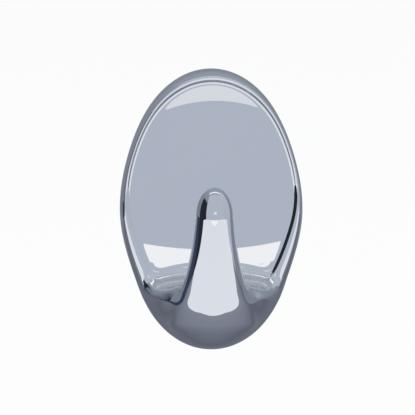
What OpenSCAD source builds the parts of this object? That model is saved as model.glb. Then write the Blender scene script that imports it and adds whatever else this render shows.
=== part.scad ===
// Adhesive wall hook: an oval plated cover with one upright finger. The cover slides down over
// a flat wall plate, and a stretch-release strip holds the plate on the wall.
// The wall is the plane y = 0, the front faces -Y, and the origin is the strip's centre.

/* [Cover] */
// Width of the oval
cover_w = 39; // [37:0.5:46]
// Height of the oval
cover_h = 60; // [56:0.5:68]
// Share by which the oval's lower half is drawn in
lower_draw = 0.04; // [0:0.004:0.06]
// Share by which the oval's upper half is drawn in
upper_draw = 0.018; // [0:0.002:0.04]
// Width of the rim beside the face
rim_side = 2; // [1.3:0.1:2.5]
// Width of the rim above the face
rim_top = 2.3; // [1.4:0.1:3]
// Width of the rim below the face, where the hook grows out of it
rim_foot = 8.8; // [7:0.2:11]
// Height of the rim's crest over the face
rim_rise = 0.7; // [0.4:0.1:1.2]
// Height of the rim's round shoulder
rim_round = 4.2; // [3:0.1:5]
// Height by which the face is crowned in its middle
face_crown = 0.45; // [0:0.05:0.6]
// Thickness of the face
face_t = 2; // [1.6:0.1:2.6]
// Thickness of the wall round the hollow back
side_t = 1.9; // [1.5:0.1:2.4]
// Air between the back edge and the wall
back_gap = 0.4; // [0.2:0.1:0.8]

/* [Hook] */
// Clear width of the throat between face and finger
throat_w = 9.5; // [7.5:0.5:12]
// Height of the throat's floor behind the finger, from the oval's centre
floor_z = -14.5; // [-16:0.5:-13]
// Radius of the arch that the floor follows from side to side
arch_r = 20; // [18:0.5:23]
// Height of the finger's tip, from the oval's centre
tip_z = 7.5; // [4:0.5:11]
// Height over which the finger's tip is rounded
tip_l = 6.3; // [4:0.1:7]
// Width of the finger below its tip
tip_w = 7.8; // [6:0.2:9]
// Thickness of the finger, from the throat to its front
finger_t = 6.15; // [5:0.05:8]
// How far the finger's front leans forward, from the throat's floor up to its tip
lean = 0.75; // [0:0.05:1]
// How far the finger's front turns under besides, down to the throat's floor
turn_t = 1.1; // [0.5:0.1:1.6]
// Width that the finger gains where it grows out of the bowl
flare_w = 3.5; // [2:0.1:4]
// How far the bowl below the throat stands out beyond it
bowl_t = 2.3; // [1:0.1:4]
// Height of the soft ridge down the bowl's middle
ridge_t = 1.2; // [0:0.1:2]
// Wall of the hollow below the throat
root_t = 2.4; // [2:0.1:3]
// Thickness of the rib inside the hollow
rib_t = 1.6; // [1.2:0.1:2.4]

/* [Wall plate] */
// Width of each flange beside the web
flange_w = 2; // [1.5:0.1:2.5]
// Margin of the web round the strip's sides
web_margin = 0.5; // [0:0.1:1]
// Margin of the plate above and below the coated length
end_margin = 1; // [0:0.25:1.5]
// Radius of the plate's corners
plate_r = 2.5; // [1:0.5:4]
// Thickness of the web
web_t = 1.4; // [1.2:0.1:1.8]
// Thickness of the flanges
flange_t = 1.5; // [1.2:0.1:2]
// Depth of the two windows in the front
window_d = 0.8; // [0.4:0.1:1]
// Width of the frame round the windows
frame_w = 2.2; // [1.6:0.1:3]

/* [Strip] */
// Width of the strip
strip_w = 15; // [10:0.5:16]
// Length that is coated with adhesive
strip_l = 36; // [28:0.5:37]
// Thickness of the foam core
core_t = 0.7; // [0.5:0.05:1]
// Thickness of each adhesive coat
coat_t = 0.15; // [0.1:0.05:0.2]
// Length of the pull tab
tab_l = 8; // [6:0.5:9]
// Radius of the strip's corners
strip_r = 1.5; // [0.5:0.25:2.5]

/* [Fit] */
// Running clearance between cover and plate
slide_gap = 0.3; // [0.2:0.05:0.4]
// Thickness of the rails that grip the flanges
rail_t = 1.5; // [1.2:0.1:2]
// Height of the stop that lands on the plate's top edge
stop_h = 2.5; // [2:0.5:4]

/* [Hidden] */
$fn = 48;
eps = 0.01;

// Points round the oval, over a section of the bowl, over half a section of the finger,
// across the throat's floor and along half its arch
oval_steps = 72;
section_steps = 30;
finger_steps = 18;
floor_steps = 14;
throat_steps = 14;

// The plate takes its size from the strip that it is stuck to
web_w = strip_w + 2 * web_margin;
plate_w = web_w + 2 * flange_w;
plate_h = strip_l + 2 * end_margin;

// Layers from the wall outwards
strip_t = core_t + 2 * coat_t;
flange_out = strip_t + web_t;
plate_out = flange_out + flange_t;
inner_out = plate_out + slide_gap;
face_out = inner_out + face_t;
crest_out = face_out + rim_rise;
shoulder_out = crest_out - rim_round;

// The face's own oval sits a little above the cover's centre
half_h = cover_h / 2;
face_half_w = cover_w / 2 - rim_side;
face_half_h = half_h - (rim_top + rim_foot) / 2;
face_z = (rim_foot - rim_top) / 2;
crest_share = 0.62;
inner_share = 0.85;

// Throat, finger and bowl, measured out from the wall. The throat is sunk a little into the face
sunk = 0.1;
root_inset = 0.02;
least_half = 0.3;
throat_r = (throat_w + sunk) / 2;
throat_mid = face_out - sunk + throat_r;
axis_z = floor_z - arch_r;
back_out = face_out + throat_w;
finger_out = back_out + finger_t;
bowl_out = back_out + bowl_t;
foot_z = -half_h + root_inset;
root_out = shoulder_out;
shoulder_z = tip_z - tip_l;

// The throat gets shallower to its sides, and its ends lean outwards along the rim
shallow_share = 0.35;
shallow_x = 11;
end_slope = 0.8;

// The finger widens and deepens by these shares, its flare levels off, and it ends inside the bowl
widen = 0.1;
deepen = 0.12;
level_off = 0.35;
finger_end = floor_z - 7.5;
end_l = 4;
back_late = 6;

// The bowl draws in over a height up to its top, and is squarer there than at its foot
bowl_z = floor_z + 0.5;
draw_z = floor_z - 4.5;
draw_l = 9.5;
top_square = 1.5;
foot_square = 2;
ridge_half = 7;

// Rails, stop and the way out for the plate at the cover's foot
rail_x = plate_w / 2 + slide_gap;
lip_x = web_w / 2 + slide_gap;
lip_out = flange_out - slide_gap;
lip_recess = 0.4;
lip_back = back_gap + lip_recess;
lead_in = 1;
slot_half = rail_x + slide_gap;
stop_half = plate_w / 2 - plate_r;

function mix(a, b, t) = a + (b - a) * t;
function clamp(t) = min(1, max(0, t));
function round_off(t) = sqrt(max(0, 1 - t * t));

// The oval: an ellipse with each half drawn in by its own share
function draw_in(s) = 1 - (s < 0 ? lower_draw : upper_draw) * pow(sin(180 * s), 2);
function oval_point(a) = [cover_w / 2 * cos(a) * draw_in(sin(a)), half_h * sin(a)];
function oval_half(z) = cover_w / 2 * round_off(z / half_h) * draw_in(z / half_h);
function face_point(a) = [face_half_w * cos(a) * draw_in(sin(a)), face_z + face_half_h * sin(a)];

// One ring between the cover's outline and the face's outline, at a height over the wall
function oval_ring(share, out, inset = 0) = [
    for (i = [0 : oval_steps - 1])
        let (a = 360 * i / oval_steps, p = mix(oval_point(a), face_point(a), share))
            [p.x - inset * cos(a), p.y - inset * sin(a), out]
];

// The face's outline drawn in towards its middle, where it is crowned
function face_ring(share) = [
    for (i = [0 : oval_steps - 1])
        let (p = face_point(360 * i / oval_steps))
            [p.x * share, mix(face_z, p.y, share), face_out + face_crown * (1 - share * share)]
];

// The finger: its front, half its width and half its thickness at a height, and how its ends close
function finger_down(z) = max(shoulder_z - z, 0);
function finger_share(z) = finger_down(z) / (shoulder_z - floor_z);
function finger_front(z) = finger_out - lean * finger_share(z) - turn_t * pow(finger_share(z), 3);
function finger_flare(z) = pow(finger_share(z), 3) / (1 + level_off * pow(finger_share(z), 3));
function finger_half(z) = tip_w / 2 + widen * finger_down(z) + flare_w / 2 * finger_flare(z);
function finger_deep(z) = finger_t / 2 - sunk + deepen * finger_down(z);
function finger_close(z) =
    round_off(max(z - shoulder_z, 0) / tip_l) * round_off(max(finger_end - z, 0) / end_l);

// One level section through the finger: over the front from left to right, then round the back,
// which reaches down into the bowl below the throat
function finger_section(z) =
    let (w = finger_half(z) * finger_close(z), mid = finger_front(z) - finger_deep(z))
    let (back = mix(finger_deep(z), mid - root_out, pow(clamp(finger_share(z)), back_late)))
    [for (i = [0 : 2 * finger_steps - 1])
        let (a = 180 - 180 * i / finger_steps)
            [w * cos(a), z, mid + (a > 0 ? finger_deep(z) : back) * finger_close(z) * sin(a)]];

// The bowl: half its width and its depth at a height, and how square its section is
function bowl_under(z) = clamp((bowl_z - z) / (bowl_z - foot_z));
function bowl_square(z) = mix(top_square, foot_square, bowl_under(z));
function bowl_open(z) = max(1 - pow(max(z - draw_z, 0) / draw_l, 2), 0);
function bowl_half(z) = max(oval_half(z) - root_inset, least_half) * sqrt(bowl_open(z));
function bowl_deep(z) = round_off(bowl_under(z)) * pow(bowl_open(z), 1 / bowl_square(z));
function ridge(x) = ridge_t * pow(max(1 - pow(x / ridge_half, 2), 0), 2);

// One level section through the bowl, from left to right over its front
function bowl_section(z) =
    [for (i = [0 : section_steps])
        let (a = 180 - 180 * i / section_steps, x = bowl_half(z) * cos(a))
        let (out = (bowl_out - root_out + ridge(x)) * bowl_deep(z) * pow(sin(a), 2 / bowl_square(z)))
            [x, z, root_out + out]];

// The same section drawn in by a wall, for the hollow behind it
function hollow_section(z) =
    let (w = max(bowl_half(z) - root_t, least_half))
    let (front = max(mix(root_out, bowl_out, bowl_deep(z)) - root_t - inner_out, least_half))
    [for (i = [0 : section_steps])
        let (a = 180 - 180 * i / section_steps)
            [w * cos(a), z, inner_out - eps + front * pow(sin(a), 2 / bowl_square(z))]];

// Skins a stack of rings that all have the same number of points
module loft(rings) {
    n = len(rings[0]);
    last = len(rings) - 1;
    sides = [
        for (j = [0 : last - 1], i = [0 : n - 1])
            let (a = j * n + i, b = j * n + (i + 1) % n)
                each [[a, b + n, b], [a, a + n, b + n]]
    ];
    caps = [[for (i = [0 : n - 1]) i], [for (i = [n - 1 : -1 : 0]) last * n + i]];
    polyhedron([for (r = rings) each r], concat(sides, caps));
}

// Stands a piece that is drawn lying on its back up against the wall
module on_wall() {
    rotate([90, 0, 0]) children();
}

module rounded_rect(w, h, r) {
    square([w - 2 * r, h], center = true);
    square([w, h - 2 * r], center = true);
    for (x = [-1, 1], y = [-1, 1])
        translate([x * (w / 2 - r), y * (h / 2 - r)]) circle(r);
}

// The oval dish, solid: straight edge, round shoulder, crest, and the sunk face
module oval_body() {
    shoulder = [
        for (a = [0 : 15 : 90])
            [crest_share * (1 - cos(a)), mix(shoulder_out, crest_out, sin(a))]
    ];
    profile = concat([[0, back_gap]], shoulder, [[inner_share, crest_out - rim_rise / 4], [1, face_out]]);
    crown = [for (share = [0.8 : -0.2 : 0.2]) face_ring(share)];
    loft(concat([for (p = profile) oval_ring(p[0], p[1])], crown));
}

// Heights of the sections, closer together where the outline turns
function bowl_levels() = concat(
    [for (a = [87 : -5 : 2]) bowl_z - (bowl_z - foot_z) * sin(a)],
    [for (a = [30 : 9 : 84]) mix(draw_z, draw_z + draw_l, sin(a))]
);
function finger_levels() = concat(
    [for (a = [80 : -25 : 30]) finger_end - end_l * sin(a)],
    [for (t = [0 : 0.05 : 1]) mix(finger_end, shoulder_z, t)],
    [for (a = [12 : 14 : 82]) shoulder_z + tip_l * sin(a)]
);

// The hook, solid down to the face, before the throat is cut
module hook_body() {
    loft([for (z = bowl_levels()) bowl_section(z)]);
    loft([for (z = finger_levels()) finger_section(z)]);
}

// One upright section through the throat, across from face to finger: round below, open above
function throat_section(x) =
    let (arch = arch_r + throat_r, rise = sqrt(arch * arch - x * x))
    let (depth = throat_r / (1 + shallow_share * pow(x / shallow_x, 2)) * arch / rise)
    concat(
        [for (i = [0 : floor_steps])
            let (a = 180 * i / floor_steps)
                [x, axis_z + rise - depth * sin(a), throat_mid - throat_r * cos(a)]],
        [[x, tip_z + tip_l, back_out], [x, tip_z + tip_l, face_out - sunk]]
    );

// The throat: a slot along an arch, kept inside the rim, whose ends lean outwards
module throat() {
    reach = finger_out + 1;
    intersection() {
        loft([
            for (i = [throat_steps : -1 : -throat_steps]) throat_section(cover_w / 2 * i / throat_steps)
        ]);
        loft([oval_ring(1, face_out - sunk), oval_ring(1, reach, -end_slope * (reach - face_out))]);
    }
}

// The hollow behind the throat's floor, with one rib left standing in it
module root_hollow() {
    levels = [for (z = [foot_z + root_t : 1 : floor_z]) z];
    difference() {
        intersection() {
            loft([for (z = levels) hollow_section(z)]);
            translate([0, axis_z, 0]) cylinder(r = arch_r - root_t, h = finger_out);
        }
        translate([-rib_t / 2, -half_h, inner_out + slide_gap]) cube([rib_t, half_h, finger_out]);
    }
}

// The hollow back, and the slot in the foot that lets the plate pass
module back_hollow() {
    loft([for (out = [-1, inner_out]) oval_ring(0, out, side_t)]);
    translate([-slot_half, -half_h - 1, -1]) cube([2 * slot_half, half_h, inner_out + 1 - eps]);
}

// Rail that reaches round one flange, with a lead-in at its lower end
module rail() {
    section = [
        [rail_x, inner_out + eps],
        [rail_x, lip_out],
        [lip_x, lip_out],
        [lip_x, lip_back],
        [rail_x + rail_t, lip_back],
        [rail_x + rail_t, inner_out + eps],
    ];
    difference() {
        translate([0, plate_h / 2, 0]) rotate([90, 0, 0]) linear_extrude(plate_h) polygon(section);
        translate([lip_x - eps, -plate_h / 2, lip_out]) rotate([0, 90, 0])
            linear_extrude(rail_x - lip_x + eps)
                polygon([[-eps, -eps], [lead_in / 2, -eps], [-eps, lead_in]]);
    }
}

module stop() {
    translate([-stop_half, plate_h / 2, flange_out])
        cube([2 * stop_half, stop_h, inner_out - flange_out + eps]);
}

module hook_cover() {
    color("#b4b9c3") on_wall() {
        difference() {
            union() {
                oval_body();
                difference() {
                    hook_body();
                    throat();
                }
            }
            back_hollow();
            root_hollow();
        }
        rail();
        mirror([1, 0, 0]) rail();
        stop();
    }
}

module wall_plate() {
    window_w = plate_w - 2 * frame_w;
    window_h = (plate_h - 3 * frame_w) / 2;
    color("#d9dadb") on_wall() difference() {
        union() {
            translate([0, 0, strip_t]) linear_extrude(web_t + eps) rounded_rect(web_w, plate_h, plate_r);
            translate([0, 0, flange_out]) linear_extrude(flange_t) rounded_rect(plate_w, plate_h, plate_r);
        }
        for (side = [-1, 1])
            translate([0, side * (window_h + frame_w) / 2, plate_out - window_d])
                linear_extrude(flange_t) rounded_rect(window_w, window_h, plate_r / 2);
    }
}

module coat(out) {
    on_wall() translate([0, 0, out]) linear_extrude(coat_t) rounded_rect(strip_w, strip_l, strip_r);
}

module strip_core() {
    color("#f1f1ec") on_wall() translate([0, -tab_l / 2, coat_t])
        linear_extrude(core_t) rounded_rect(strip_w, strip_l + tab_l, strip_r);
}

module front_adhesive() {
    color("#e3e8ea") coat(coat_t + core_t);
}

module rear_adhesive() {
    color("#e3e8ea") coat(0);
}

// Film folded round the bare end of the core, level with the adhesive coats
module pull_tab() {
    foot = -strip_l / 2 - tab_l;
    color("#5d6268") on_wall() difference() {
        translate([-strip_w / 2, foot - coat_t, 0]) cube([strip_w, tab_l + coat_t - strip_r, strip_t]);
        translate([0, -tab_l / 2, coat_t])
            linear_extrude(core_t) rounded_rect(strip_w, strip_l + tab_l, strip_r);
    }
}

hook_cover();
wall_plate();
strip_core();
front_adhesive();
rear_adhesive();
pull_tab();
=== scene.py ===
import math
import bpy
import bmesh
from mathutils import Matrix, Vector


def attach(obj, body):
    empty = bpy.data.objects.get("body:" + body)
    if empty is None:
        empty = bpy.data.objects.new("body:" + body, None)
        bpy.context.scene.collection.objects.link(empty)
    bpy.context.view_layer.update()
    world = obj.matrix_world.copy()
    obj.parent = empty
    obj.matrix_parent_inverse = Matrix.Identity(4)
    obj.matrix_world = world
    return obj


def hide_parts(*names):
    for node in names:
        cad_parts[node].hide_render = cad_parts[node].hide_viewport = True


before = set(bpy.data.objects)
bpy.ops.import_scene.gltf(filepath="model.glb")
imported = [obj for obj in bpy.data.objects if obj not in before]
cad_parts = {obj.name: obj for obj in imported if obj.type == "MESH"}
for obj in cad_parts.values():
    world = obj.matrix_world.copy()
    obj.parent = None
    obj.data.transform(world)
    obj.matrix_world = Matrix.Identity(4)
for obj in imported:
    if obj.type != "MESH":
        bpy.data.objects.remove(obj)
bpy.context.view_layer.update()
print("frame loaded:", sorted(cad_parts))


class Wire:
    # One output socket. Arithmetic on it adds Math nodes to its own tree.
    def __init__(self, socket):
        self.socket = socket
        self.tree = socket.id_data

    def calc(self, operation, *others):
        return maths(self.tree, operation, self, *others)

    def __add__(self, other):
        return self.calc("ADD", other)

    def __radd__(self, other):
        return self.calc("ADD", other)

    def __sub__(self, other):
        return self.calc("SUBTRACT", other)

    def __rsub__(self, other):
        return maths(self.tree, "SUBTRACT", other, self)

    def __mul__(self, other):
        return self.calc("MULTIPLY", other)

    def __rmul__(self, other):
        return self.calc("MULTIPLY", other)

    def __truediv__(self, other):
        return self.calc("DIVIDE", other)

    def __rtruediv__(self, other):
        return maths(self.tree, "DIVIDE", other, self)

    def __pow__(self, other):
        return self.calc("POWER", other)

    def __rpow__(self, other):
        return maths(self.tree, "POWER", other, self)

    def __neg__(self):
        return self.calc("MULTIPLY", -1)

    def __abs__(self):
        return self.calc("ABSOLUTE")

    def least(self, other):
        return self.calc("MINIMUM", other)

    def most(self, other):
        return self.calc("MAXIMUM", other)

    def softLeast(self, other, width):
        return self.calc("SMOOTH_MIN", other, width)

    def softMost(self, other, width):
        return self.calc("SMOOTH_MAX", other, width)

    def below(self, other):
        return self.calc("LESS_THAN", other)

    def root(self):
        return self.calc("SQRT")

    def sine(self):
        return self.calc("SINE")

    def unit(self):
        return self.most(0).least(1)


def place(tree, kind, settings=None, sockets=None, out=0):
    # Adds one node: its settings first, then the values or links of its sockets
    node = tree.nodes.new(kind)
    for name, value in (settings or {}).items():
        setattr(node, name, value)
    for name, value in (sockets or {}).items():
        if isinstance(value, Wire):
            tree.links.new(value.socket, node.inputs[name])
        else:
            node.inputs[name].default_value = value
    return Wire(node.outputs[out])


def maths(tree, operation, *values):
    return place(tree, "ShaderNodeMath", {"operation": operation}, dict(enumerate(values)))


def vectors(tree, operation, sockets, out=0):
    return place(tree, "ShaderNodeVectorMath", {"operation": operation}, sockets, out)


def gathered(tree, x, y, z):
    return place(tree, "ShaderNodeCombineXYZ", None, {0: x, 1: y, 2: z})


def mix(a, b, share):
    return a + (b - a) * share


def span(a, b):
    return (a * a + b * b).root()


# The cover's sizes in millimetres, as the solid has them but for the throat's sunk wall; out is from the wall
coverSizes = {
    "oval width": 39.0, "oval height": 60.0, "lower draw": 0.04, "upper draw": 0.018,
    "rim side": 2.0, "rim top": 2.3, "rim foot": 8.8, "rim round": 4.2, "crest out": 6.9,
    "face out": 6.2, "face crown": 0.45, "inner out": 4.2, "back gap": 0.4, "side wall": 1.9,
    "throat width": 9.5, "throat sunk": 0.7, "throat flat": 0.785, "floor height": -14.5, "arch radius": 20.0,
    "tip height": 7.5, "tip round": 6.3, "tip width": 7.8, "tip depth": 3.0,
    "finger out": 21.85, "finger lean": 0.75, "finger turn": 1.1,
    "widening": 0.1, "flare": 1.75, "level off": 0.35, "deepening": 0.12,
    "bowl out": 18.0, "bowl height": -14.0, "bowl square": 1.5, "ridge": 1.2,
    "root blend": 2.5, "root wall": 2.4, "rib": 1.6,
    "rail at": 10.3, "rail wall": 1.5, "rail lip at": 8.3, "rail lip out": 2.1, "rail back": 0.8,
    "rail half height": 19.0, "stop half": 7.5, "stop height": 2.5, "stop out": 2.4, "slot half": 10.6,
}
# How the skin is meshed: block, moves of the polish, reach of a slope, and the depths of the two cuts
coverMesh = {
    "grain": 0.2, "margin": 0.6, "wall margin": 0.3, "polish": 3, "least slope": 0.05, "most move": 0.1,
    "reach": 0.02, "partings": (4.7, 8.5), "metres": 0.001,
}
# Least values that keep the field's divisions finite
guard = {"share": 0.001, "oval slope": 0.00004, "dish slope": 0.0003, "fill slope": 0.02, "ahead": 0.0001}


def sizedTree(name, inputKind, result):
    # A node group with named inputs: one of its own, then one number for each of the cover's sizes
    tree = bpy.data.node_groups.new(name, "GeometryNodeTree")
    tree.interface.new_socket(inputKind[0], in_out="INPUT", socket_type=inputKind[1])
    for label, value in coverSizes.items():
        socket = tree.interface.new_socket(label, in_out="INPUT", socket_type="NodeSocketFloat")
        socket.default_value = value
    tree.interface.new_socket(result[0], in_out="OUTPUT", socket_type=result[1])
    inputs = tree.nodes.new("NodeGroupInput")
    output = tree.nodes.new("NodeGroupOutput")
    return tree, {s.name: Wire(s) for s in inputs.outputs if s.name}, output


def fieldTree(name):
    return sizedTree(name, ("Point", "NodeSocketVector"), ("Value", "NodeSocketFloat"))


def valueAt(tree, group, point, wires):
    # A field's value at a point, with the cover's sizes handed on
    sizes = {name: wires[name] for name in coverSizes}
    return place(tree, "GeometryNodeGroup", {"node_tree": group}, {"Point": point, **sizes})


def shifted(tree, point):
    # The point moved a little along each axis
    reach = coverMesh["reach"]
    return [vectors(tree, "ADD", {0: point, 1: [reach * (i == j) for j in range(3)]}) for i in range(3)]


def axes(point):
    # Across, out from the wall and up
    node = place(point.tree, "ShaderNodeSeparateXYZ", None, {0: point}).socket.node
    return Wire(node.outputs[0]), -Wire(node.outputs[1]), Wire(node.outputs[2])


def drawnIn(s, lower, upper):
    # What is left of the oval's width at a share of its half height
    wave = (s.most(-1).least(1) * math.pi).sine()
    return 1 - mix(upper, lower, s.below(0)) * wave * wave


def ovalDepth(x, z, half, tall, lower, upper):
    # How far a point lies inside a drawn-in oval, and its share of the way out from the middle
    s = z / tall
    a = half * drawnIn(s, lower, upper)
    r = span(x / a, s)
    steep = span(x / (a * a), s / tall)
    return (1 - r) * r.most(guard["share"]) / steep.most(guard["oval slope"]), r


# The finger's back, which deepens into the bowl, and its buried lower end
fingerForm = {"back depth": 40, "back power": 6, "end height": -22, "end round": 4}


def fingerFill():
    # Below 1 inside the finger: a round cone with a long tip above, which dips into the bowl below
    tree, w, output = fieldTree("finger fill")
    x, d, z = axes(w["Point"])
    shoulder = w["tip height"] - w["tip round"]
    down = (shoulder - z).most(0)
    share = down / (shoulder - w["floor height"])
    cubed = share * share * share
    front = w["finger out"] - w["finger lean"] * share - w["finger turn"] * cubed
    half = w["tip width"] / 2 + w["widening"] * down + w["flare"] * cubed / (1 + w["level off"] * cubed)
    deep = w["tip depth"] + w["deepening"] * down
    off = d - front + deep
    ahead = off.most(0) / deep
    behind = (-off).most(0) / (deep + fingerForm["back depth"] * share.unit() ** fingerForm["back power"])
    cap = ((z - shoulder) / w["tip round"]).most(0)
    end = ((fingerForm["end height"] - z) / fingerForm["end round"]).most(0)
    fill = (x / half) ** 2 + ahead * ahead + behind * behind + cap * cap + end * end
    tree.links.new(fill.socket, output.inputs[0])
    return tree


# The bowl's gap to the oval's edge, its upper end, its least half width, its ridge and how square its foot is
bowlForm = {
    "inset": 0.15, "end height": -19, "end round": 9.5, "least half": 0.3, "ridge half": 7, "foot square": 2,
}


def bowlFill():
    # Below 1 inside the bowl under the throat; its outline is the oval's own
    tree, w, output = fieldTree("bowl fill")
    x, d, z = axes(w["Point"])
    foot = bowlForm["inset"] - w["oval height"] / 2
    s = (z * 2 / w["oval height"]).most(-1).least(1)
    end = ((z - bowlForm["end height"]) / bowlForm["end round"]).most(0)
    half = w["oval width"] / 2 * (1 - s * s).most(0).root() * drawnIn(s, w["lower draw"], w["upper draw"])
    half = (half - bowlForm["inset"]).most(bowlForm["least half"])
    rootOut = w["crest out"] - w["rim round"]
    under = ((w["bowl height"] - z) / (w["bowl height"] - foot)).unit()
    crest = (1 - (x / bowlForm["ridge half"]) ** 2).most(0)
    square = mix(w["bowl square"], bowlForm["foot square"], under)
    ahead = (d - rootOut).most(guard["ahead"]) / (w["bowl out"] - rootOut + w["ridge"] * crest * crest)
    below = (foot - z).most(0)
    narrowed = 1 - (x / half) ** 2 - end * end
    fill = ahead ** square + 1 - (1 - under * under).most(0) ** (square / 2) * narrowed
    tree.links.new((fill + below * below).socket, output.inputs[0])
    return tree


def boxField(x, y, z, lows, highs):
    # Signed distance to a box, each side given as low and high
    sides = [(low - v).most(v - high) for v, low, high in zip((x, y, z), lows, highs)]
    return sides[0].most(sides[1]).most(sides[2])


# Slants and soft blends of the skin, and how far its cutters and fittings run past what they meet
coverForm = {
    "least rim": 1.0, "crest share": 0.62, "back blend": 0.5, "face slant": 0.5, "face upright": 0.894,
    "face blend": 0.8, "step blend": 0.9, "throat half": 11, "throat rise": 0.35, "throat slant": 0.8,
    "throat upright": 0.78, "throat blend": 2.4, "cove gap": 0.2, "hook blend": 1.2, "skin blend": 0.7,
    "foot blend": 2.5, "foot reach": 2, "foot height": -9, "foot length": 6, "edge inset": 0.12,
    "edge blend": 0.4, "hollow blend": 0.6, "hollow overlap": 1, "rib blend": 0.5, "lip blend": 0.3,
    "far": 60, "slot behind": -5, "slot top": -1, "middle": -1, "rooted": 0.5,
}


def coverField(fingerTree, bowlTree):
    # Signed distance to the cover's skin, near enough for its blends
    form = coverForm
    tree, w, output = fieldTree("cover field")
    x, d, z = axes(w["Point"])
    halfH = w["oval height"] / 2
    faceHalfH = halfH - (w["rim top"] + w["rim foot"]) / 2
    faceZ = (w["rim foot"] - w["rim top"]) / 2
    draws = w["lower draw"], w["upper draw"]
    inside, _ = ovalDepth(x, z, w["oval width"] / 2, halfH, *draws)
    inFace, faceShare = ovalDepth(x, z - faceZ, w["oval width"] / 2 - w["rim side"], faceHalfH, *draws)

    # Dish: straight edge, round shoulder, crest, then the sunk face
    crest = (inside - inFace).most(form["least rim"]) * form["crest share"]
    u = (crest - inside).most(0) / crest
    v = (d - (w["crest out"] - w["rim round"])).most(0) / w["rim round"]
    r = span(u, v)
    steep = span(u / crest, v / w["rim round"])
    dish = (r - 1) * r.most(guard["share"]) / steep.most(guard["dish slope"])
    dish = dish.softMost(w["back gap"] - d, form["back blend"])
    faceLevel = w["face out"] + w["face crown"] * (1 - faceShare * faceShare)
    wall = (-inFace - (d - w["face out"]) * form["face slant"]) * form["face upright"]
    dish = dish.softMost(-wall.softMost(faceLevel - d, form["face blend"]), form["step blend"])

    # Hook: a fill over its own steepness is a distance
    def fillDistance(fillTree, point):
        fill, *others = [valueAt(tree, fillTree, p, w) for p in [point] + shifted(tree, point)]
        slopes = [(other - fill) / coverMesh["reach"] for other in others]
        steepness = (span(slopes[0], slopes[1]) ** 2 + slopes[2] * slopes[2]).root()
        return (fill - 1) / steepness.most(guard["fill slope"])

    hook = fillDistance(fingerTree, w["Point"]).softLeast(fillDistance(bowlTree, w["Point"]), w["root blend"])

    # Throat: a round-bottomed slot along an arch, kept inside the rim
    axisZ = w["floor height"] - w["arch radius"]
    arch = span(x, z - axisZ)
    throatR = w["throat width"] / 2 + w["throat sunk"] / 2
    throatMid = w["face out"] - w["throat sunk"] + throatR
    deep = throatR / w["throat flat"]
    shallow = w["throat flat"] * (1 + (x / form["throat half"]) ** 2 * form["throat rise"])
    throat = span((arch - w["arch radius"] - deep).least(0) * shallow, d - throatMid) - throatR
    ends = (-inFace - (d - w["face out"]) * form["throat slant"]) * form["throat upright"]
    throat = throat.softMost(ends, form["throat blend"])
    lipLevel = z.least(w["bowl height"])
    skirt = fillDistance(bowlTree, gathered(tree, x, -d, lipLevel))
    cove = skirt.most(arch - w["arch radius"] - deep - form["cove gap"]).most(d - throatMid)
    bulge = hook.least(cove).softMost(-throat, form["hook blend"])
    lower = ((form["foot height"] - z) / form["foot length"]).unit()
    skin = dish.softLeast(
        bulge, form["skin blend"] + form["foot blend"] * (-inFace / form["foot reach"]).unit() * lower)
    skin = skin.softMost(form["edge inset"] - inside, form["edge blend"])
    skin = skin.softMost(w["back gap"] - d, form["back blend"])

    # Hollow back, foot slot and the hollow under the throat with its rib
    back = (w["side wall"] - inside).softMost(d - w["inner out"], form["hollow blend"])
    slot = boxField(abs(x), d, z, (-form["far"], form["slot behind"], -form["far"]),
                    (w["slot half"], w["inner out"], form["slot top"]))
    under = (bulge + w["root wall"]).softMost(arch - w["arch radius"] + w["root wall"], form["hollow blend"])
    under = under.most(w["inner out"] - form["hollow overlap"] - d)
    under = under.softMost(w["rib"] / 2 - abs(x), form["rib blend"])
    skin = skin.softMost(-back.softLeast(under, form["edge blend"]), form["edge blend"])
    skin = skin.softMost(-slot, form["edge blend"])

    # Rails and stop
    tall = w["rail half height"]
    railOut = w["rail at"] + w["rail wall"]
    rooted = w["inner out"] + form["rooted"]
    rail = boxField(abs(x), d, abs(z), (w["rail at"], w["rail back"], form["middle"]),
                    (railOut, rooted, tall))
    lip = boxField(abs(x), d, abs(z), (w["rail lip at"], w["rail back"], form["middle"]),
                   (railOut, w["rail lip out"], tall))
    stop = boxField(abs(x), d, z, (form["middle"], w["stop out"], tall),
                    (w["stop half"], rooted, tall + w["stop height"]))
    fittings = rail.softLeast(lip, form["lip blend"]).least(stop)
    tree.links.new(skin.softLeast(fittings, form["edge blend"]).socket, output.inputs[0])
    return tree


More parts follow.
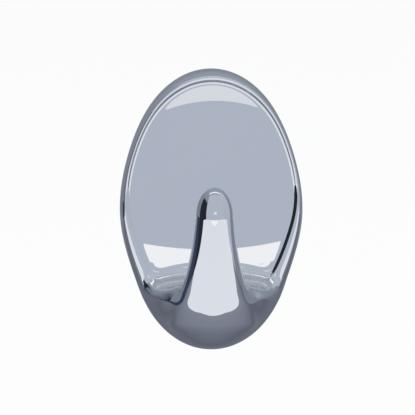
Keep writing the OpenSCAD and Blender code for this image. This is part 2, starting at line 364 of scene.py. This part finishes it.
def coverTree(field, finish):
    # Fills a block of space with the field, takes its skin and lays every point exactly on it
    tree, w, output = sizedTree("oval cover", ("Grain", "NodeSocketFloat"), ("Mesh", "NodeSocketGeometry"))

    def steepest(point, middle):
        steps = [valueAt(tree, field, p, w) for p in shifted(tree, point)]
        return gathered(tree, *[(step - middle) / coverMesh["reach"] for step in steps])

    position = place(tree, "GeometryNodeInputPosition")
    halfW, halfH = (w[size] / 2 + coverMesh["margin"] for size in ("oval width", "oval height"))
    depth = w["finger out"] + coverMesh["margin"]
    low = gathered(tree, -halfW, -depth, -halfH)
    high = gathered(tree, halfW, coverMesh["wall margin"], halfH)
    counts = {f"Resolution {axis}": size / w["Grain"]
              for axis, size in (("X", halfW * 2), ("Y", depth), ("Z", halfH * 2))}
    density = -valueAt(tree, field, position, w)
    block = place(tree, "GeometryNodeVolumeCube", None,
                  {"Density": density, "Background": -1.0, "Min": low, "Max": high, **counts})
    mesh = place(tree, "GeometryNodeVolumeToMesh", {"resolution_mode": "GRID"},
                 {"Volume": block, "Threshold": 0.0, "Adaptivity": 0.0})
    for _ in range(coverMesh["polish"]):
        gap = valueAt(tree, field, position, w)
        slope = steepest(position, gap)
        squared = vectors(tree, "DOT_PRODUCT", {0: slope, 1: slope}, 1)
        move = (gap / squared.most(coverMesh["least slope"])).most(-coverMesh["most move"])
        offset = vectors(tree, "SCALE", {0: slope, "Scale": -move.least(coverMesh["most move"])})
        mesh = place(tree, "GeometryNodeSetPosition", None, {"Geometry": mesh, "Offset": offset})
    normal = vectors(tree, "NORMALIZE", {0: steepest(position, valueAt(tree, field, position, w))})
    mesh = place(tree, "GeometryNodeStoreNamedAttribute", {"data_type": "FLOAT_VECTOR", "domain": "POINT"},
                 {"Geometry": mesh, "Name": "skin", "Value": normal})
    shrunk = vectors(tree, "SCALE", {0: position, "Scale": coverMesh["metres"]})
    mesh = place(tree, "GeometryNodeSetPosition", None, {"Geometry": mesh, "Position": shrunk})
    mesh = place(tree, "GeometryNodeSetShadeSmooth", None, {0: mesh})
    mesh = place(tree, "GeometryNodeRealizeInstances", None, {0: mesh})
    mesh = place(tree, "GeometryNodeSetMaterial", None, {"Geometry": mesh, "Material": finish})
    tree.links.new(mesh.socket, output.inputs[0])
    return tree


def bake(name, tree, values):
    # Runs a geometry tree on an empty mesh and keeps the result as a plain mesh
    holder = bpy.data.objects.new(name, bpy.data.meshes.new(name))
    bpy.context.scene.collection.objects.link(holder)
    modifier = holder.modifiers.new("build", "NODES")
    modifier.node_group = tree
    for item in tree.interface.items_tree:
        if item.in_out == "INPUT" and item.name in values:
            modifier[item.identifier] = values[item.name]
    graph = bpy.context.evaluated_depsgraph_get()
    mesh = bpy.data.meshes.new_from_object(holder.evaluated_get(graph))
    holder.modifiers.remove(modifier)
    holder.data = mesh
    return holder


def newMaterial(name):
    material = bpy.data.materials.new(name)
    material.use_nodes = True
    material.node_tree.nodes.clear()
    return material, material.node_tree


def surfaced(tree, shader, kind="ShaderNodeOutputMaterial"):
    tree.links.new(shader.socket, tree.nodes.new(kind).inputs["Surface"])


def finished(material, sockets):
    tree = material.node_tree
    surfaced(tree, place(tree, "ShaderNodeBsdfPrincipled", None, sockets))
    return material


def coordinates(tree, kind="Object"):
    return Wire(place(tree, "ShaderNodeTexCoord").socket.node.outputs[kind])


def noise(point, scale, detail=2.0):
    return place(point.tree, "ShaderNodeTexNoise", None, {"Vector": point, "Scale": scale, "Detail": detail})


def bumped(height, distance, strength=0.5):
    return place(height.tree, "ShaderNodeBump", None,
                 {"Height": height, "Distance": distance, "Strength": strength})


def blended(mask, under, over):
    # Mixes two colours, each a tuple or a wire
    under, over = ((*c, 1) if isinstance(c, tuple) else c for c in (under, over))
    return place(mask.tree, "ShaderNodeMix", {"data_type": "RGBA"}, {0: mask, 6: under, 7: over}, 2)


def eased(inside):
    return place(inside.tree, "ShaderNodeMapRange", {"interpolation_type": "SMOOTHSTEP"}, {"Value": inside})


# Bright plating, hazy in the throat; in the hollow back and where it looks to the wall a rougher, grained
# cast skin, its colour darkened there as painted shade; in metres
platingLook = {
    "bright": (0.86, 0.87, 0.89), "cloud": (0.84, 0.855, 0.88), "back shade": (0.47, 0.48, 0.50),
    "polish": (0.003, 0.014), "cast rough": 0.38, "cloud scale": 70.0,
    "cast scale": 1400.0, "cast detail": 3.0, "cast depth": 0.00012,
    "hollow half": 0.0185, "hollow tall": 0.029, "hollow out": 0.0052, "edge": 0.03, "step": 0.0006,
    "wallward": 0.2, "turn": 0.3, "throat axis": -0.0345, "throat low": 0.0194, "throat high": 0.0042,
    "throat edge": 0.0010, "throat back": 0.0064, "throat front": 0.0156, "throat haze": 0.28,
}


def platingMaterial():
    look = platingLook
    material, tree = newMaterial("brightPlating")
    point = coordinates(tree)
    x, d, z = axes(point)
    step = look["step"]
    oval = eased((1 - span(x / look["hollow half"], z / look["hollow tall"])) / look["edge"] + 0.5)
    hollow = oval * eased((look["hollow out"] - d) / step + 0.5)
    facing = axes(coordinates(tree, "Normal"))[1]
    # Faces that look to the wall join the hollow back in the painted shade
    hollow = hollow.most(eased((-facing - look["wallward"]) / look["turn"]))
    above = span(x, z - look["throat axis"]) - look["throat low"]
    throat = eased(above / look["throat edge"]) * eased((look["throat high"] - above) / look["throat edge"])
    throat = throat * eased((d - look["throat back"]) / step) * eased((look["throat front"] - d) / step)
    clouds = noise(point, look["cloud scale"])
    grain = noise(point, look["cast scale"], look["cast detail"])
    rough = mix(*look["polish"], clouds) + throat * look["throat haze"]
    return finished(material, {
        # Painted shade: the colour darkens in the hollow back and on faces that look to the wall
        "Base Color": blended(hollow, blended(clouds, look["bright"], look["cloud"]), look["back shade"]),
        "Metallic": 1.0, "Roughness": mix(rough, look["cast rough"], hollow),
        "Normal": bumped(grain * hollow, look["cast depth"])})


# Moulded plastic with a fine spark-eroded grain
plasticLook = {
    "pale": (0.86, 0.87, 0.87), "shade": (0.80, 0.81, 0.815), "cloud scale": 180.0, "cloud detail": 3.0,
    "grain scale": 5200.0, "rough": (0.42, 0.55), "depth": 0.00004,
}


def plasticMaterial():
    look = plasticLook
    material, tree = newMaterial("mouldedPlastic")
    point = coordinates(tree)
    clouds = noise(point, look["cloud scale"], look["cloud detail"])
    grain = noise(point, look["grain scale"])
    return finished(material, {
        "Base Color": blended(clouds, look["pale"], look["shade"]), "Roughness": mix(*look["rough"], grain),
        "Normal": bumped(grain, look["depth"])})


# Foam with open cells, its pits painted darker as shade
foamLook = {
    "skin": (0.94, 0.94, 0.91), "pit shade": (0.74, 0.74, 0.70), "cell scale": 3200.0, "cloud scale": 300.0,
    "closing": 1.6, "faint": 0.4, "rough": (0.85, 0.97), "depth": 0.00012,
}


def foamMaterial():
    look = foamLook
    material, tree = newMaterial("stretchFoam")
    point = coordinates(tree)
    cells = place(tree, "ShaderNodeTexVoronoi", None, {"Vector": point, "Scale": look["cell scale"]})
    clouds = noise(point, look["cloud scale"])
    pits = (1 - cells * look["closing"]).unit()
    return finished(material, {
        # Painted shade: the colour darkens in the pits
        "Base Color": blended(pits * mix(look["faint"], 1.0, clouds), look["skin"], look["pit shade"]),
        "Roughness": mix(*look["rough"], clouds), "Normal": bumped(-pits, look["depth"])})


# Glossy adhesive, drawn into faint streaks along the strip
adhesiveLook = {
    "clear": (0.86, 0.89, 0.90), "streak": (0.77, 0.81, 0.83), "stretch": (1.0, 1.0, 0.06),
    "streak scale": 1500.0, "streak detail": 3.0, "rough": (0.18, 0.36), "depth": 0.00002,
}


def adhesiveMaterial():
    look = adhesiveLook
    material, tree = newMaterial("clearAdhesive")
    drawn = place(tree, "ShaderNodeMapping", None, {"Vector": coordinates(tree), "Scale": look["stretch"]})
    streaks = noise(drawn, look["streak scale"], look["streak detail"])
    return finished(material, {
        "Base Color": blended(streaks, look["clear"], look["streak"]),
        "Roughness": mix(*look["rough"], streaks), "Normal": bumped(streaks, look["depth"])})


# Satin film with a grain brushed across it
filmLook = {
    "light": (0.40, 0.42, 0.45), "dark": (0.31, 0.33, 0.365), "stretch": (0.05, 1.0, 1.0),
    "grain scale": 4200.0, "cloud scale": 350.0, "cloud share": 0.4, "rough": (0.34, 0.5), "depth": 0.000015,
}


def filmMaterial():
    look = filmLook
    material, tree = newMaterial("tabFilm")
    point = coordinates(tree)
    drawn = place(tree, "ShaderNodeMapping", None, {"Vector": point, "Scale": look["stretch"]})
    grain, clouds = noise(drawn, look["grain scale"]), noise(point, look["cloud scale"])
    return finished(material, {
        "Base Color": blended(mix(grain, clouds, look["cloud share"]), look["light"], look["dark"]),
        "Roughness": mix(*look["rough"], clouds), "Normal": bumped(grain, look["depth"])})


def parted(whole, name, nearest, farthest):
    # The slice of the cover between two depths, capped, with the field's own normals kept
    mesh = bpy.data.meshes.new(name)
    cut = bmesh.new()
    cut.from_mesh(whole)
    for depth, towards in ((nearest, 1), (farthest, -1)):
        if depth is None:
            continue
        normal = (0, towards, 0)
        sides = bmesh.ops.bisect_plane(
            cut, geom=cut.verts[:] + cut.edges[:] + cut.faces[:], dist=1e-7,
            plane_co=(0, -depth / 1000, 0), plane_no=normal, clear_outer=True)
        rim = [e for e in sides["geom_cut"] if isinstance(e, bmesh.types.BMEdge)]
        bmesh.ops.triangle_fill(cut, edges=rim, use_beauty=False, use_dissolve=False, normal=normal)
    leaks = sum(e.is_boundary for e in cut.edges)
    cut.to_mesh(mesh)
    cut.free()
    mesh.polygons.foreach_set("use_smooth", [True] * len(mesh.polygons))
    mesh.normals_split_custom_set_from_vertices([tuple(v.vector) for v in mesh.attributes["skin"].data])
    mesh.attributes.remove(mesh.attributes["skin"])
    mesh.materials.clear()
    mesh.materials.append(plating)
    piece = bpy.data.objects.new(name, mesh)
    bpy.context.scene.collection.objects.link(piece)
    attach(piece, "cover")
    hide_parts("hook_cover")
    print(name + ":", sum(len(p.vertices) - 2 for p in mesh.polygons), "triangles,", leaks, "open edges")
    return piece


plating = platingMaterial()
skinTree = coverTree(coverField(fingerFill(), bowlFill()), plating)
whole = bake("wholeCover", skinTree, {"Grain": coverMesh["grain"]})
behind, before = coverMesh["partings"]
rimShell = parted(whole.data, "rimShell", None, behind)
ovalFace = parted(whole.data, "ovalFace", behind, before)
hookFinger = parted(whole.data, "hookFinger", before, None)
bpy.data.objects.remove(whole)
# The photo shows no finger mirrored in the face
hookFinger.visible_glossy = False

# The wall plate keeps its solid's shape, with moulded edges
plateEdges = {"join": 1e-6, "flat": math.radians(1), "sharp": math.radians(40), "round": 0.0002, "steps": 2}
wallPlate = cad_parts["wall_plate"]
wallPlate.data.materials.clear()
wallPlate.data.materials.append(plasticMaterial())
weld = wallPlate.modifiers.new("join", "WELD")
weld.merge_threshold = plateEdges["join"]
flat = wallPlate.modifiers.new("flat", "DECIMATE")
flat.decimate_type, flat.angle_limit = "DISSOLVE", plateEdges["flat"]
edges = wallPlate.modifiers.new("round", "BEVEL")
edges.limit_method, edges.angle_limit = "ANGLE", plateEdges["sharp"]
edges.width, edges.segments = plateEdges["round"], plateEdges["steps"]

# The stretch strip in millimetres: a foam core between two coats. Profiles are inset and distance out
stripSizes = {
    "half": 7.5, "low": -26.0, "coat low": -18.0, "high": 18.0, "corner": 1.5, "sharp": math.radians(35),
    "core": [(0.5, 0.152), (0.12, 0.152), (0.03, 0.21), (0.0, 0.32), (0.02, 0.5), (0.0, 0.68), (0.03, 0.79),
             (0.12, 0.848), (0.5, 0.848)],
    "rear": [(0.4, 0.0), (0.07, 0.0), (0.02, 0.03), (0.0, 0.08), (0.04, 0.135), (0.1, 0.149), (0.4, 0.149)],
    "front": [(0.4, 0.851), (0.1, 0.851), (0.04, 0.865), (0.0, 0.92), (0.02, 0.97), (0.07, 0.998),
              (0.4, 0.998)],
}


def closedPiece(name, rings, material, node):
    # Skins rings of points in millimetres, closes both ends and puts the piece on the wall side
    mesh = bmesh.new()
    loops = [[mesh.verts.new([v / 1000 for v in p]) for p in ring] for ring in rings]
    count = len(rings[0])
    for one, two in zip(loops, loops[1:]):
        for i in range(count):
            mesh.faces.new((one[i], one[(i + 1) % count], two[(i + 1) % count], two[i]))
    mesh.faces.new(loops[0])
    mesh.faces.new(loops[-1][::-1])
    bmesh.ops.recalc_face_normals(mesh, faces=mesh.faces[:])
    data = bpy.data.meshes.new(name)
    mesh.to_mesh(data)
    mesh.free()
    data.materials.append(material)
    data.shade_smooth()
    data.set_sharp_from_angle(angle=stripSizes["sharp"])
    piece = bpy.data.objects.new(name, data)
    bpy.context.scene.collection.objects.link(piece)
    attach(piece, "base")
    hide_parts(node)
    print(name + ":", len(data.polygons), "faces")
    return piece


def roundedRing(half, low, high, corner, inset, out, steps=8):
    # One rounded rectangle on the wall, drawn in by an inset
    radius, ring = corner - inset, []
    right, left, top, foot = half - corner, corner - half, high - corner, low + corner
    for quarter, (x, z) in enumerate([(right, top), (left, top), (left, foot), (right, foot)]):
        for i in range(steps + 1):
            turn = math.pi / 2 * (quarter + i / steps)
            ring.append((x + radius * math.cos(turn), -out, z + radius * math.sin(turn)))
    return ring


def stripLayer(name, profile, low, material, node):
    ring = [roundedRing(stripSizes["half"], low, stripSizes["high"], stripSizes["corner"], inset, out)
            for inset, out in stripSizes[profile]]
    return closedPiece(name, ring, material, node)


adhesive = adhesiveMaterial()
foamCore = stripLayer("foamCore", "core", stripSizes["low"], foamMaterial(), "strip_core")
rearCoat = stripLayer("rearCoat", "rear", stripSizes["coat low"], adhesive, "rear_adhesive")
frontCoat = stripLayer("frontCoat", "front", stripSizes["coat low"], adhesive, "front_adhesive")

# The pull tab in millimetres: film folded round the core's bare end, in strips that end at the cuts
tabSizes = {
    "half": 7.5, "top": -19.5, "fold": -25.65, "middle": 0.5, "outer": 0.498, "inner": 0.355,
    "steps": 14, "corner": 0.9, "cuts": [6.6, 7.0, 7.3, 7.45, 7.5],
}


def filmPath(radius, x):
    # Down the wall side, round the fold and up the front; the corners at the top are cut round
    sizes = tabSizes
    beyond = max(0, abs(x) - sizes["half"] + sizes["corner"]) / sizes["corner"]
    top = sizes["top"] - sizes["corner"] * (1 - math.sqrt(max(0, 1 - beyond * beyond)))
    turns = [math.pi * i / sizes["steps"] for i in range(sizes["steps"] + 1)]
    bend = [(x, -sizes["middle"] + radius * math.cos(t), sizes["fold"] - radius * math.sin(t)) for t in turns]
    return [(x, bend[0][1], top)] + bend + [(x, bend[-1][1], top)]


cuts = [-cut for cut in tabSizes["cuts"][::-1]] + tabSizes["cuts"]
film = [filmPath(tabSizes["outer"], x) + filmPath(tabSizes["inner"], x)[::-1] for x in cuts]
pullTab = closedPiece("pullTab", film, filmMaterial(), "pull_tab")

# Camera as the photograph has it: a little above and to the left
view = {
    "aim": (0, -0.006, 0), "distance": 0.55, "azimuth": 2.6, "elevation": 10.0, "width": 0.0876,
    "shift": (-0.0104, 0.0108),
}
az, el = math.radians(view["azimuth"]), math.radians(view["elevation"])
sight = Vector((math.sin(az) * math.cos(el), math.cos(az) * math.cos(el), -math.sin(el)))
camera = bpy.data.objects.new("camera", bpy.data.cameras.new("camera"))
camera.location = Vector(view["aim"]) - sight * view["distance"]
camera.rotation_euler = sight.to_track_quat("-Z", "Y").to_euler()
camera.data.lens = camera.data.sensor_width * view["distance"] / view["width"]
camera.data.shift_x, camera.data.shift_y = view["shift"]
bpy.context.scene.collection.objects.link(camera)
bpy.context.scene.camera = camera


def seenRays(tree):
    # 1 for the rays that show the white background: the camera's own, and those off metal or through glass
    path = place(tree, "ShaderNodeLightPath").socket.node
    kinds = ("Camera", "Glossy", "Transmission")
    direct, glossy, through = (Wire(path.outputs[f"Is {kind} Ray"]) for kind in kinds)
    return direct.most(glossy).most(through)


def glowing(tree, colour):
    return place(tree, "ShaderNodeEmission", None, {"Color": colour, "Strength": 1.0})


# World: a plain, even light, and a white background
worldLook = {"light": (0.62, 0.64, 0.67), "background": (1.0, 1.0, 1.0)}
world = bpy.data.worlds.new("plainWorld")
world.use_nodes = True
world.node_tree.nodes.clear()
colour = blended(seenRays(world.node_tree), worldLook["light"], worldLook["background"])
shader = place(world.node_tree, "ShaderNodeBackground", None, {"Color": colour, "Strength": 1.0})
surfaced(world.node_tree, shader, "ShaderNodeOutputWorld")
bpy.context.scene.world = world

# A pale floor that shows white, apart from the object's shadow
floorSizes = {"half": 2.0, "height": -0.09, "colour": (0.9, 0.9, 0.9, 1), "glow": (1, 1, 1, 1), "white": 0.9}
floorFinish, floorTree = newMaterial("paleFloor")
matte = place(floorTree, "ShaderNodeBsdfDiffuse", None, {"Color": floorSizes["colour"]})
white = seenRays(floorTree) * floorSizes["white"]
glow = glowing(floorTree, floorSizes["glow"])
surfaced(floorTree, place(floorTree, "ShaderNodeMixShader", None, {0: white, 1: matte, 2: glow}))
sides = [(-1, -1), (1, -1), (1, 1), (-1, 1)]
floorCorners = [(x * floorSizes["half"], y * floorSizes["half"], floorSizes["height"]) for x, y in sides]
floor = bpy.data.objects.new("floor", bpy.data.meshes.new("floor"))
floor.data.from_pydata(floorCorners, [], [(0, 1, 2, 3)])
floor.data.materials.append(floorFinish)
bpy.context.scene.collection.objects.link(floor)

# A plain light tent of flat cards, which the metal shows
tentSteps = 12
tentCards = [
    # Name, low and high corner, colour at its low and high edge, drop of the low edge towards its ends
    ("front wall", (-0.33, -0.38, -0.09), (0.36, -0.38, 0.5),
     (0.48, 0.52, 0.605), (0.50, 0.54, 0.62), 0),
    ("window", (-0.020, -0.379, -0.0042), (0.058, -0.379, 0.03),
     (0.77, 0.79, 0.83), (0.82, 0.84, 0.86), 0.005),
    ("left wall", (-0.33, -0.38, -0.09), (-0.33, 0.35, 0.5),
     (0.19, 0.21, 0.26), (0.30, 0.34, 0.40), 0),
    ("dark flag", (-0.329, -0.38, -0.09), (-0.329, -0.02, 0.2),
     (0.02, 0.024, 0.03), (0.02, 0.024, 0.03), 0),
    ("skirting", (-0.328, -0.02, -0.09), (-0.328, 0.16, -0.045),
     (0.04, 0.05, 0.09), (0.04, 0.05, 0.09), 0),
    ("right wall, front", (0.36, -0.38, -0.09), (0.36, 0.0, 0.5),
     (0.45, 0.49, 0.57), (0.52, 0.56, 0.64), 0),
    ("right wall, back", (0.36, 0.0, -0.09), (0.36, 0.35, 0.5),
     (0.22, 0.24, 0.29), (0.30, 0.34, 0.40), 0),
    ("back wall", (-0.33, 0.35, -0.09), (0.36, 0.35, 0.5),
     (0.20, 0.22, 0.26), (0.34, 0.37, 0.43), 0),
    ("ceiling", (-0.33, -0.38, 0.5), (0.36, 0.35, 0.5),
     (0.34, 0.38, 0.46), (0.30, 0.34, 0.42), 0),
    ("ceiling lamp", (-0.31, -0.265, 0.499), (0.34, -0.18, 0.499),
     (1.0, 1.0, 0.96), (1.0, 1.0, 0.96), 0),
    ("pale sheet", (-0.33, -0.335, -0.0895), (0.36, -0.066, -0.0895),
     (0.80, 0.825, 0.88), (0.82, 0.845, 0.90), 0),
    ("mat, front", (-0.33, -0.066, -0.0895), (0.36, 0.05, -0.0895),
     (0.25, 0.27, 0.33), (0.12, 0.13, 0.165), 0),
    ("mat, back", (-0.33, 0.05, -0.0895), (0.36, 0.35, -0.0895),
     (0.13, 0.14, 0.18), (0.26, 0.28, 0.34), 0),
]


def lightTent():
    # One mesh of all cards, in strips, which only reflections see
    corners, faces, tones = [], [], []
    for _, low, high, first, last, drop in tentCards:
        flat = [a == b for a, b in zip(low, high)].index(True)
        across, along = [i for i in range(3) if i != flat]
        for step in range(tentSteps + 1):
            share = step / tentSteps
            for end, tone in ((low, first), (high, last)):
                corner = list(low)
                corner[across] += (high[across] - low[across]) * share
                corner[along] = end[along] - drop * (2 * share - 1) ** 2 * (end is low)
                corners.append(corner)
                tones += [*tone, 1]
            if step:
                start = len(corners) - 4
                faces.append((start, start + 2, start + 3, start + 1))
    tent = bpy.data.objects.new("lightTent", bpy.data.meshes.new("lightTent"))
    tent.data.from_pydata(corners, [], faces)
    tent.data.attributes.new("tone", "FLOAT_COLOR", "POINT").data.foreach_set("color", tones)
    finish, tree = newMaterial("tentCards")
    surfaced(tree, glowing(tree, place(tree, "ShaderNodeAttribute", {"attribute_name": "tone"})))
    tent.data.materials.append(finish)
    tent.visible_camera = tent.visible_diffuse = tent.visible_shadow = False
    bpy.context.scene.collection.objects.link(tent)


lightTent()
print("studio ready")

# Two soft lamps: name, place and watts
lampSide = 1.2
for name, spot, watts in (("keyLamp", (-0.7, -0.9, 1.0), 11.0), ("fillLamp", (1.0, -0.8, 0.6), 5.0)):
    lamp = bpy.data.objects.new(name, bpy.data.lights.new(name, "AREA"))
    lamp.data.shape, lamp.data.size, lamp.data.energy = "SQUARE", lampSide, watts
    lamp.location = spot
    lamp.rotation_euler = (-Vector(spot)).to_track_quat("-Z", "Y").to_euler()
    lamp.visible_glossy = False
    bpy.context.scene.collection.objects.link(lamp)

bpy.context.scene.view_settings.view_transform = "Standard"
